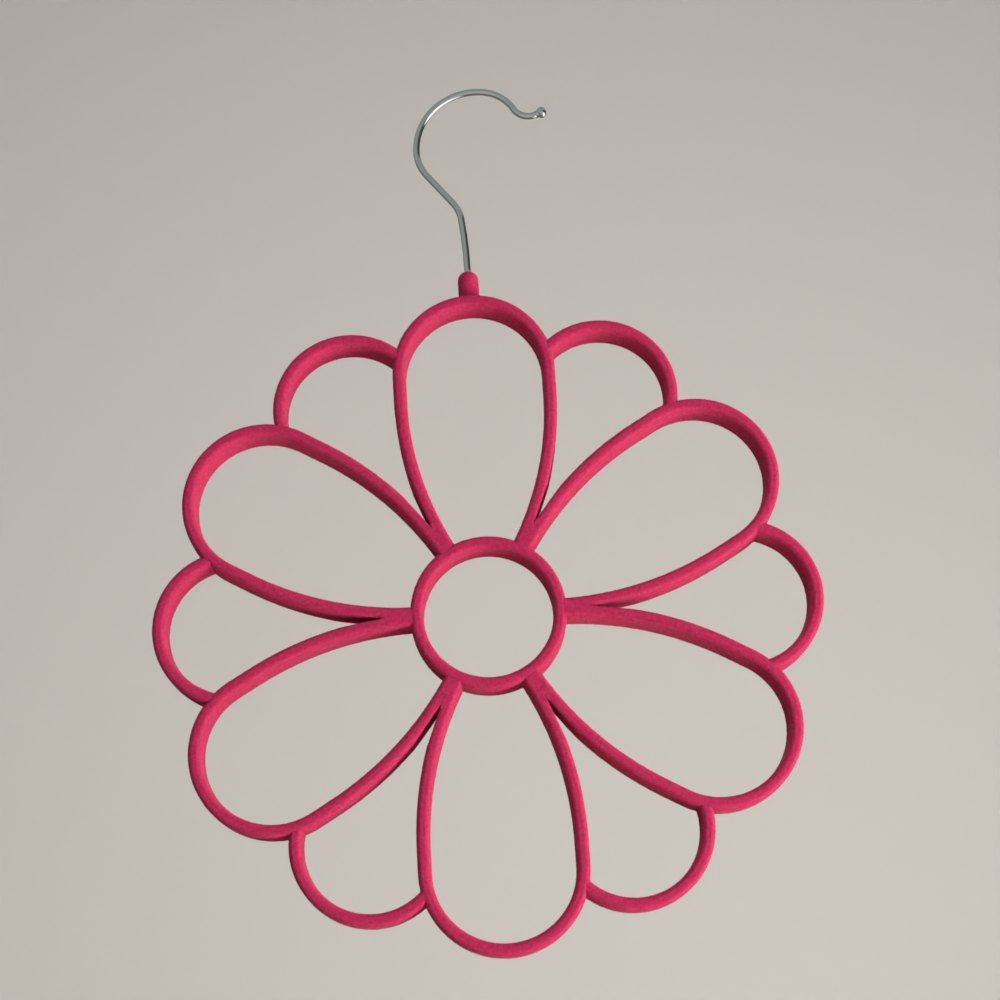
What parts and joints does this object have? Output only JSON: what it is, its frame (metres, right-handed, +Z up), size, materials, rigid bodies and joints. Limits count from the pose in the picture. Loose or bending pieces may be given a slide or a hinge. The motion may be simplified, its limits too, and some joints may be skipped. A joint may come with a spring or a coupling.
{
  "type": "scarf hanger",
  "caption": "Flower-shaped scarf hanger: flocked strip petals round a centre ring, hung from a wire hook that turns in a collar; scarves are drawn through the loops.",
  "frame": {"origin": "the point under the hook's crown that rests on the wardrobe rod", "axes": "+Z up along the hook's stem, +X to the right seen from the front, +Y from the front to the back through the frame's depth"},
  "size_m": [0.2841, 0.0188, 0.3878],
  "materials": {
    "flocked_plastic": "velvet flock on moulded plastic",
    "cup_steel": "plain drawn steel",
    "hook_chrome": "bright chromed wire"
  },
  "bodies": {
    "hook": {"hook_wire": "hook_chrome", "hook_ball_tip": "hook_chrome"},
    "frame": {"centre_ring": "flocked_plastic", "full_petal_12_oclock": "flocked_plastic", "full_petal_2_oclock": "flocked_plastic", "full_petal_4_oclock": "flocked_plastic", "full_petal_6_oclock": "flocked_plastic", "full_petal_8_oclock": "flocked_plastic", "full_petal_10_oclock": "flocked_plastic", "half_petal_1_oclock": "flocked_plastic", "half_petal_3_oclock": "flocked_plastic", "half_petal_5_oclock": "flocked_plastic", "half_petal_7_oclock": "flocked_plastic", "half_petal_9_oclock": "flocked_plastic", "half_petal_11_oclock": "flocked_plastic", "hook_collar": "flocked_plastic", "swivel_cup": "cup_steel"}
  },
  "joints": [
    {"name": "hook_swivel", "type": "hinge", "parent": "hook", "child": "frame", "pos_m": [-0.00814, 0, -0.0909], "axis": [0, 0, 1], "continuous": true}
  ]
}
